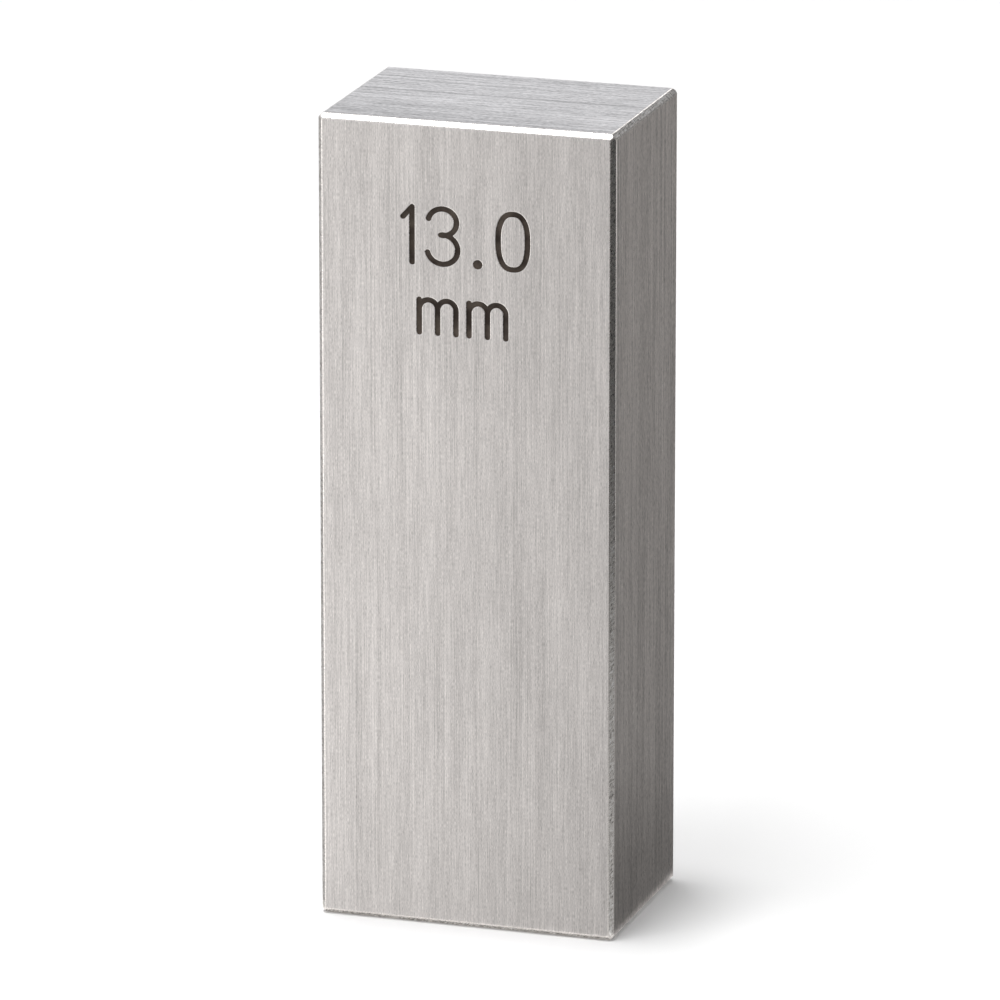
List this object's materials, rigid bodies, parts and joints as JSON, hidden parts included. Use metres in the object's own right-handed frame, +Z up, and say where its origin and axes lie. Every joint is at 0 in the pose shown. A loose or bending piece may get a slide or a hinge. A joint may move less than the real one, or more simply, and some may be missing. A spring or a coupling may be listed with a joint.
{
  "type": "gauge block",
  "caption": "Rectangular steel gauge block with lapped measuring faces, ground sides and broken edges, standing on one end.",
  "frame": {"origin": "middle of the end face that the block stands on", "axes": "+X along the nominal length, from one measuring face to the other; +Y along the short side of the section, away from the marked side; +Z up the long side of the section"},
  "size_m": [0.013, 0.009, 0.035],
  "materials": {
    "gauge_steel": "fine ground sides and ends, lapped measuring faces"
  },
  "bodies": {
    "root": {"gauge_block": "gauge_steel"}
  },
  "joints": []
}
